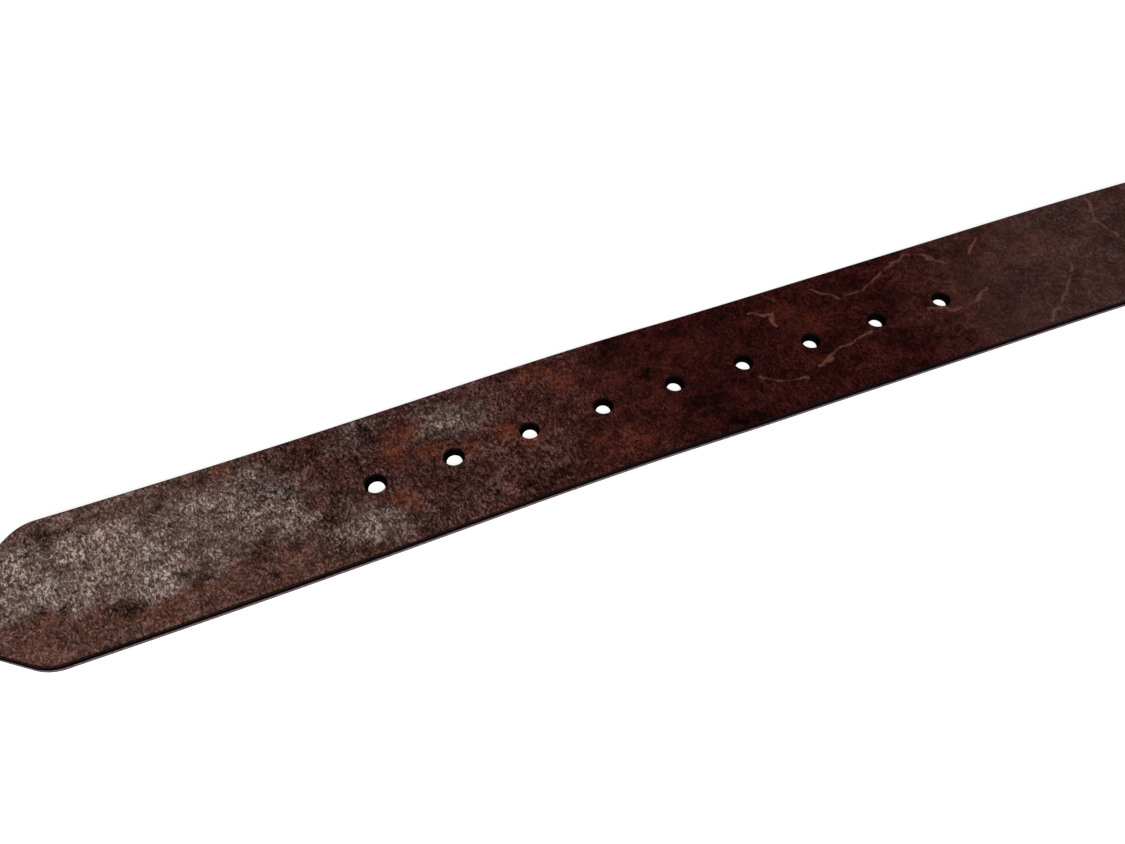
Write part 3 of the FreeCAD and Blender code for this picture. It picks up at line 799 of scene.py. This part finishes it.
RED_BROWN = (0.062, 0.0150, 0.0112)
TAN_BROWN = (0.128, 0.0490, 0.0325)
MAROON = (0.0330, 0.0064, 0.0058)
# The dye at the button end, lightened in part as painted sheen.
BROWN_BLACK_AND_SHEEN = (0.0680, 0.0275, 0.0240)
RUST_ORANGE = (0.250, 0.050, 0.014)
VEIN_TAN = (0.210, 0.084, 0.062)
# The greys of painted highlights: glints on the worn, dusty finish.
GLINT_WARM_GREY = (0.400, 0.290, 0.250)
GLINT_COOL_GREY = (0.370, 0.320, 0.315)
# A greyed haze over the tip, partly dusty wax and partly painted sheen.
SHEEN_HAZE = (0.192, 0.130, 0.111)
# The colour of painted shade in creases and between pebbles.
CREASE_SHADE = (0.0060, 0.0016, 0.0012)
NEAR_BLACK = (0.0020, 0.0010, 0.0010)


def grain_patterns(paint, dust_and_sheen):
    """The outer face's patterns, each from about 0 to 1."""
    place = paint.mark("cut", "Vector")
    wandering = paint.bend_place(place, 0.30, 2.6)
    pebble = paint.add("TexVoronoi", {"Vector": paint.stretch(wandering, (1.2, 0.62, 1.0)), "Scale": 1.0,
                                      "Smoothness": 0.2}, "Distance", feature="SMOOTH_F1")
    folds = paint.add("TexNoise", {"Vector": paint.stretch(wandering, (0.50, 0.24, 1.0)), "Scale": 1.0,
                                   "Detail": 4.0, "Roughness": 0.6, "Gain": 2.0, "Offset": 0.9},
                      noise_type="RIDGED_MULTIFRACTAL")
    # The crackle's dark lines become painted shade in the worn finish.
    crackle_shade = paint.add("TexVoronoi", {"Vector": paint.stretch(wandering, (0.95, 0.50, 1.0)), "Scale": 1.0},
                        "Distance", feature="DISTANCE_TO_EDGE")
    return SimpleNamespace(
        pebble=paint.ramp(pebble, 0.15, 0.8, 1.0, 0.0),
        folds=paint.ramp(folds, 1.45, 2.2),
        crackle_shade=paint.times(paint.ramp(crackle_shade, 0.02, 0.14, 0.85, 0.0), paint.ramp(dust_and_sheen, 0.15, 0.6)),
        fibres=paint.noise(paint.stretch(wandering, (1.6, 0.62, 1.0)), 1.0, 4.0, 0.7),
        fine=paint.noise(paint.stretch(place, (1.2, 0.8, 1.0)), 1.6, 4.0, 0.75),
        mottle=paint.noise(wandering, 0.26, 8.0, 0.75),
        patchy=paint.noise(paint.stretch(place, (0.10, 0.14, 1.0)), 1.0, 5.0, 0.6),
        blotch=paint.noise(place, 0.075, 4.0, 0.6),
    )


def dyed(paint, pattern):
    """The dye: tan at the tip, then red-brown, maroon and brown-black, mottled all over; the brown-black is
    lightened in part as painted sheen.
    """
    colour = paint.mix(paint.mark("tan"), RED_BROWN, TAN_BROWN)
    colour = paint.mix(paint.mark("maroon"), colour, MAROON)
    colour = paint.mix(paint.mark("late"), colour, BROWN_BLACK_AND_SHEEN)
    shade = paint.times(paint.ramp(pattern.mottle, 0.38, 0.60, 0.62, 1.32),
                        paint.ramp(pattern.fine, 0.36, 0.64, 0.42, 1.65),
                        paint.ramp(pattern.fibres, 0.38, 0.60, 0.6, 1.4))
    plain = paint.math("ADD", paint.times(paint.mark("tan"), 0.5), paint.mark("late"))
    shade = paint.math("POWER", shade, paint.ramp(plain, 0.0, 1.0, 1.15, 0.5))
    shade = paint.times(shade, paint.ramp(pattern.blotch, 0.36, 0.62, 0.75, 1.2))
    return paint.scale(colour, shade)


def rusted_and_veined(paint, pattern, colour):
    """Rust-coloured patches, and pale raised veins."""
    rust = paint.times(paint.mark("rust"), paint.ramp(pattern.fine, 0.36, 0.60, 0.1, 1.0),
                       paint.ramp(pattern.mottle, 0.36, 0.56, 0.2, 1.0))
    colour = paint.mix(paint.math("MULTIPLY", rust, 0.95, True), colour, RUST_ORANGE)
    vein = paint.times(paint.ramp(paint.mark("vein"), 0.06, 0.40),
                       paint.ramp(pattern.fine, 0.36, 0.60, 0.3, 1.0), 0.9)
    return paint.mix(vein, colour, VEIN_TAN)


def dusty_sheen_and_glints(paint, pattern, colour, dust_and_sheen):
    """The scuffed, dusty wax and painted sheen: a greyed haze, and painted highlights as brighter glints on
    its fibres.
    """
    cloudy = paint.times(paint.ramp(pattern.fine, 0.36, 0.64, 0.40, 1.60),
                         paint.ramp(pattern.mottle, 0.38, 0.60, 0.55, 1.35))
    # Painted sheen: a greyed haze mixed in where the finish is worn.
    colour = paint.mix(paint.ramp(dust_and_sheen, 0.25, 0.95, 0.0, 0.62), colour, paint.scale(SHEEN_HAZE, cloudy))
    # Painted highlights: bright grey glints on the fibres.
    high = paint.times(paint.ramp(pattern.fibres, 0.46, 0.58),
                       paint.ramp(pattern.mottle, 0.40, 0.56, 0.3, 1.0),
                       paint.ramp(pattern.fine, 0.36, 0.56, 0.4, 1.0),
                       paint.ramp(pattern.patchy, 0.38, 0.58, 0.4, 1.0))
    glint_grey = paint.mix(paint.ramp(pattern.blotch, 0.42, 0.62), GLINT_WARM_GREY, GLINT_COOL_GREY)
    glint_grey = paint.scale(glint_grey, paint.ramp(dust_and_sheen, 0.3, 0.95, 0.95, 2.00))
    return paint.mix(paint.math("MULTIPLY", paint.times(dust_and_sheen, high), 1.4, True), colour, glint_grey)


def crease_shaded_and_stained(paint, pattern, colour, grain, dust_and_sheen):
    """Painted shade in the creases and the crackle, stains and dark cracks, and the blackened rim."""
    # Painted shade: the hollows between pebbles, the folds and the crackle are darkened.
    creases = paint.math("MAXIMUM", paint.ramp(pattern.pebble, 0.0, 0.25, 0.8, 0.0), pattern.folds)
    creases = paint.math("MAXIMUM", creases, pattern.crackle_shade)
    creases = paint.times(creases, paint.ramp(pattern.patchy, 0.38, 0.60, 1.0, 0.35),
                          paint.ramp(paint.mark("tan"), 0.5, 1.0, 1.0, 0.6), grain,
                          paint.ramp(dust_and_sheen, 0.3, 1.0, 1.0, 0.95))
    colour = paint.mix(creases, colour, CREASE_SHADE)
    stain = paint.times(paint.ramp(paint.mark("stain"), 0.06, 0.5),
                        paint.ramp(pattern.mottle, 0.40, 0.56, 1.0, 0.5),
                        paint.ramp(pattern.fibres, 0.42, 0.58, 1.0, 0.6), 0.95)
    colour = paint.mix(stain, colour, NEAR_BLACK)
    return paint.mix(paint.ramp(paint.mark("rim"), 0.35, 0.7, 0.0, 0.95), colour, NEAR_BLACK)


def grain_leather(name):
    """The dyed, waxed and worn outer face, with painted sheen and highlights, and painted shade in its
    creases.
    """
    paint = Paint(name)
    grain, dust_and_sheen = paint.mark("grain"), paint.mark("dust_and_sheen")
    pattern = grain_patterns(paint, dust_and_sheen)
    colour = dyed(paint, pattern)
    colour = rusted_and_veined(paint, pattern, colour)
    colour = dusty_sheen_and_glints(paint, pattern, colour, dust_and_sheen)
    colour = crease_shaded_and_stained(paint, pattern, colour, grain, dust_and_sheen)
    rough = paint.ramp(pattern.fine, 0.3, 0.7, 0.25, 0.38)
    rough = paint.math("ADD", rough, paint.times(paint.mark("maroon"), 0.06))
    rough = paint.math("ADD", rough, paint.ramp(paint.mark("rim"), 0.2, 0.6, 0.0, 0.6))
    relief = paint.math("ADD", pattern.pebble, paint.times(pattern.fibres, 0.9))
    relief = paint.math("SUBTRACT", relief, pattern.folds)
    normal = paint.bump(paint.times(relief, grain), 0.00026)
    normal = paint.bump(pattern.fine, 0.00008, normal)
    return paint.finish(Base_Color=colour, Roughness=rough, Normal=normal, Specular_IOR_Level=0.10)


def flesh_leather(name):
    """The inner face: dyed fibres, matt and a little fuzzy."""
    paint = Paint(name)
    place = paint.mark("cut", "Vector")
    nap = paint.noise(paint.stretch(paint.bend_place(place, 0.5, 2.0), (0.7, 1.3, 1.0)), 1.4, 6.0, 0.7)
    cloud = paint.noise(place, 0.06, 5.0, 0.6)
    colour = paint.mix(paint.ramp(nap, 0.35, 0.68), (0.050, 0.024, 0.016), (0.130, 0.070, 0.045))
    colour = paint.mix(paint.ramp(cloud, 0.40, 0.66, 0.0, 0.6), colour, (0.052, 0.026, 0.018))
    colour = paint.mix(paint.ramp(paint.mark("rim"), 0.3, 0.8, 0.0, 0.85), colour, NEAR_BLACK)
    return paint.finish(Base_Color=colour, Roughness=0.92, Normal=paint.bump(nap, 0.00022),
                        Specular_IOR_Level=0.25, Sheen_Weight=0.35, Sheen_Roughness=0.5)


def cut_edge(name):
    """Burnished cut edge: a black shoulder, and compressed, greyer fibres below it on the outline. The walls
    of the holes stay black all the way down, as painted shade.
    """
    paint = Paint(name)
    place = paint.mark("cut", "Vector")
    height = paint.add("SeparateXYZ", {0: place}, "Z")
    streaks = paint.noise(paint.stretch(place, (0.9, 0.9, 5.0)), 1.0, 4.0, 0.6)
    fibres = paint.mix(paint.ramp(streaks, 0.35, 0.65), (0.050, 0.032, 0.035), (0.170, 0.125, 0.132))
    # Only the outline's wall shows bare fibres; the hole walls are kept black as painted shade inside the
    # holes.
    bare = paint.times(paint.ramp(height, 0.0, -0.4, 0.0, 1.0), paint.mark("outer"))
    colour = paint.mix(bare, NEAR_BLACK, fibres)
    return paint.finish(Base_Color=colour, Roughness=paint.ramp(streaks, 0.3, 0.7, 0.45, 0.65),
                        Normal=paint.bump(streaks, 0.00009), Specular_IOR_Level=0.0)


def aged_metal(name, bright, dark, roughness, bare):
    """Cast or drawn metal with patina in patches; bare is how much of it is rubbed bright."""
    paint = Paint(name)
    place = paint.add("TexCoord", {}, "Object")
    cloud = paint.noise(place, 90.0, 6.0, 0.65)
    grains = paint.noise(place, 900.0, 4.0, 0.6)
    shine = paint.ramp(cloud, 0.62 - 0.3 * bare, 0.78 - 0.3 * bare)
    colour = paint.mix(shine, dark, bright)
    colour = paint.mix(paint.ramp(grains, 0.56, 0.72, 0.0, 0.5), colour, dark)
    rough = paint.math("ADD", paint.ramp(shine, 0.0, 1.0, roughness + 0.16, roughness),
                       paint.ramp(grains, 0.3, 0.7, -0.04, 0.05))
    normal = paint.bump(grains, 0.00002, paint.bump(cloud, 0.00006))
    return paint.finish(Base_Color=colour, Metallic=1.0, Roughness=rough, Normal=normal)


def floor_paper(name):
    """Plain white paper that is lit mostly from itself, so that shadows stay faint."""
    paint = Paint(name)
    place = paint.add("TexCoord", {}, "Object")
    tone = paint.mix(paint.noise(place, 220.0, 3.0), (0.50, 0.50, 0.50), (0.53, 0.53, 0.53))
    return paint.finish(Base_Color=tone, Roughness=0.9, Specular_IOR_Level=0.1,
                        Emission_Color=(1.0, 1.0, 1.0), Emission_Strength=0.88)


# ---------------------------------------------------------------- pieces

FINE_GRID, PLAIN_GRID = 0.66, 1.25
PLAIN_FROM = -150
FOLD_GRID, SHOULDER_GRID = 0.7, 1.4
FOLD_REACH = 26
KEEPER_GRID = 0.5
HEEL_SEARCH = 260
HEEL_SEARCH_STEP = 0.01


def tail_spacing(s):
    """Fine where the grain is bold and holes crowd, coarser towards the button end."""
    return FINE_GRID if s < PLAIN_FROM else PLAIN_GRID


def shoulder_spacing(s):
    """Fine round the heel bar's tight fold, coarser along the rest."""
    heel = SHOULDER.length - RETURN_LENGTH - math.pi * HEEL_FOLD_RADIUS
    return FOLD_GRID if abs(s - heel) < FOLD_REACH else SHOULDER_GRID


def make_tail(leather):
    loops = [tail_outline(), keyhole(0, 1)]
    for index in range(HOLE_COUNT):
        from_tip = HOLE_COUNT - 1 - index
        radius = (WORN_HOLE_RADII + (HOLE_RADIUS,) * HOLE_COUNT)[from_tip]
        loops.append(round_hole(-BUTTON_TO_LAST_HOLE - HOLE_PITCH * index, HOLE_ROW_OFFSET, radius))
    piece = leather_piece("tail_leather", loops, tail_spacing, place_tail, tail_relief, tail_marks,
                          leather, taper=HOLE_TAPER)
    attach(piece, "tail_half")
    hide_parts("tail_strap")


def heel_distance(x, layer_z):
    """Distance along the shoulder half to where it passes x at about the height layer_z."""
    steps = round(HEEL_SEARCH / HEEL_SEARCH_STEP) + 1
    distance = np.linspace(SHOULDER.length - HEEL_SEARCH, SHOULDER.length, steps)
    path_x, path_z = SHOULDER.at(distance)[:2]
    return float(distance[np.argmin(np.hypot(path_x - x, path_z - layer_z))])


def make_shoulder(leather):
    top_slot = heel_distance(HEEL_X + SLOT_BACK, TOP_Z)
    return_slot = heel_distance(HEEL_X + SLOT_BACK, RETURN_Z)
    loops = [shoulder_outline(), keyhole(BUTTON_TO_END, -1), oblong(top_slot, return_slot, SLOT_WIDTH)]
    for row in SCREW_ROWS:
        for layer_z in (TOP_Z, RETURN_Z):
            for side in (-1, 1):
                s = heel_distance(HEEL_X + row, layer_z)
                loops.append(round_hole(s, side * SCREW_SPREAD, BARREL_HOLE_RADIUS))
    piece = leather_piece("shoulder_leather", loops, shoulder_spacing, place_shoulder, plain_relief,
                          plain_marks, leather)
    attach(piece, "shoulder_half")
    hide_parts("shoulder_strap")


KEEPER_WALL = 2.0
KEEPER_CORNER = 1.6
KEEPER_GAP = 0.3
KEEPER_RELIEF = 0.3


def make_keeper(leather):
    """A strip wrapped round both layers, its ends butted together underneath."""
    low, high = (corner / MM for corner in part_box("keeper_loop"))
    half = KEEPER_WALL / 2
    middle_x = (low.x + high.x) / 2
    middle_y = (low.y + high.y) / 2
    flat_run = (high.y - low.y) / 2 - half - KEEPER_CORNER
    tall_run = high.z - low.z - KEEPER_WALL - 2 * KEEPER_CORNER
    path = Path(middle_y + KEEPER_GAP / 2, low.z + half, 0.0, [
        run(flat_run - KEEPER_GAP / 2), bend(KEEPER_CORNER, 90), run(tall_run), bend(KEEPER_CORNER, 90),
        run(2 * flat_run), bend(KEEPER_CORNER, 90), run(tall_run), bend(KEEPER_CORNER, 90),
        run(flat_run - KEEPER_GAP / 2),
    ])

    def place_keeper(s, across, height):
        y, z, heading = path.at(s)
        return np.stack([middle_x + across, y + np.sin(heading) * height,
                         z - np.cos(heading) * height], axis=-1)

    side = (high.x - low.x) / 2
    outline = [(0, -side), (path.length, -side), (path.length, side), (0, side)]
    piece = leather_piece("keeper_leather", [outline], lambda s: KEEPER_GRID, place_keeper,
                          lambda s, across: KEEPER_RELIEF * plain_relief(s, across), plain_marks,
                          leather, half)
    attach(piece, "keeper")
    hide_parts("keeper_loop")


def paint_node(name, material):
    node = frame["nodes"][name]
    if not node.material_slots:
        node.data.materials.append(material)
    for place in node.material_slots:
        place.material = material


FLOOR_SIZE = 8
FLOOR_MIDDLE_X = -0.2
FLOOR_DROP = 0.0002


def make_floor():
    height = cad_box[0].z - FLOOR_DROP
    bpy.ops.mesh.primitive_plane_add(size=FLOOR_SIZE, location=(FLOOR_MIDDLE_X, 0, height))
    floor = bpy.context.object
    floor.name = "floor"
    floor.data.materials.append(floor_paper("floor_paper"))


def aim(thing, target):
    thing.rotation_euler = (Vector(target) - thing.location).to_track_quat("-Z", "Y").to_euler()


def softbox(name, place, target, size, power):
    light = bpy.data.lights.new(name, "AREA")
    light.shape = "RECTANGLE"
    light.size, light.size_y = size
    light.energy = power
    lamp = bpy.data.objects.new(name, light)
    bpy.context.scene.collection.objects.link(lamp)
    lamp.location = place
    aim(lamp, target)


def make_lights():
    """A softbox in front, and one behind the tip that shines in the worn finish there."""
    softbox("front", (-0.55, -1.25, 0.95), (-0.36, 0.0, 0.0), (1.0, 0.7), 29.0)
    softbox("behind_tip", (-0.80, 0.55, 0.74), (-0.53, 0.0, 0.0), (0.36, 0.50), 0.8)
    world = bpy.data.worlds.new("studio")
    world.use_nodes = True
    background = world.node_tree.nodes["Background"]
    background.inputs["Color"].default_value = (1.0, 1.0, 1.0, 1.0)
    background.inputs["Strength"].default_value = 0.02
    bpy.context.scene.world = world
    bpy.context.scene.view_settings.view_transform = "Standard"


CAMERA_TARGET = (-0.38105, 0.00515, 0.0028)
CAMERA_DISTANCE = 0.36519
CAMERA_HEADING = math.radians(21.464)
CAMERA_PITCH = math.radians(52.637)
CAMERA_LENS = 36.654


def make_camera():
    """Above the near side of the adjusting holes, looking down and away to the right."""
    ahead = Vector((math.sin(CAMERA_HEADING) * math.cos(CAMERA_PITCH),
                    math.cos(CAMERA_HEADING) * math.cos(CAMERA_PITCH), -math.sin(CAMERA_PITCH)))
    data = bpy.data.cameras.new("camera")
    data.sensor_width = 36.0
    data.lens = CAMERA_LENS
    data.clip_start = 0.01
    camera = bpy.data.objects.new("camera", data)
    bpy.context.scene.collection.objects.link(camera)
    camera.location = Vector(CAMERA_TARGET) - ahead * CAMERA_DISTANCE
    aim(camera, CAMERA_TARGET)
    bpy.context.scene.camera = camera


def build():
    leather = [grain_leather("grain_leather"), flesh_leather("flesh_leather"), cut_edge("cut_edge")]
    make_tail(leather)
    make_shoulder(leather)
    make_keeper(leather)
    brass = aged_metal("antique_brass", (0.62, 0.45, 0.25), (0.12, 0.078, 0.048), 0.34, 0.6)
    screw_brass = aged_metal("screw_brass", (0.72, 0.54, 0.31), (0.17, 0.115, 0.070), 0.34, 0.8)
    steel = aged_metal("staple_steel", (0.55, 0.55, 0.56), (0.22, 0.21, 0.20), 0.32, 0.8)
    for node in ("buckle_frame", "buckle_roller", "buckle_prong"):
        paint_node(node, brass)
    for node in ("screw_posts", "screws"):
        paint_node(node, screw_brass)
    paint_node("keeper_staples", steel)
    make_floor()
    make_lights()
    make_camera()


build()
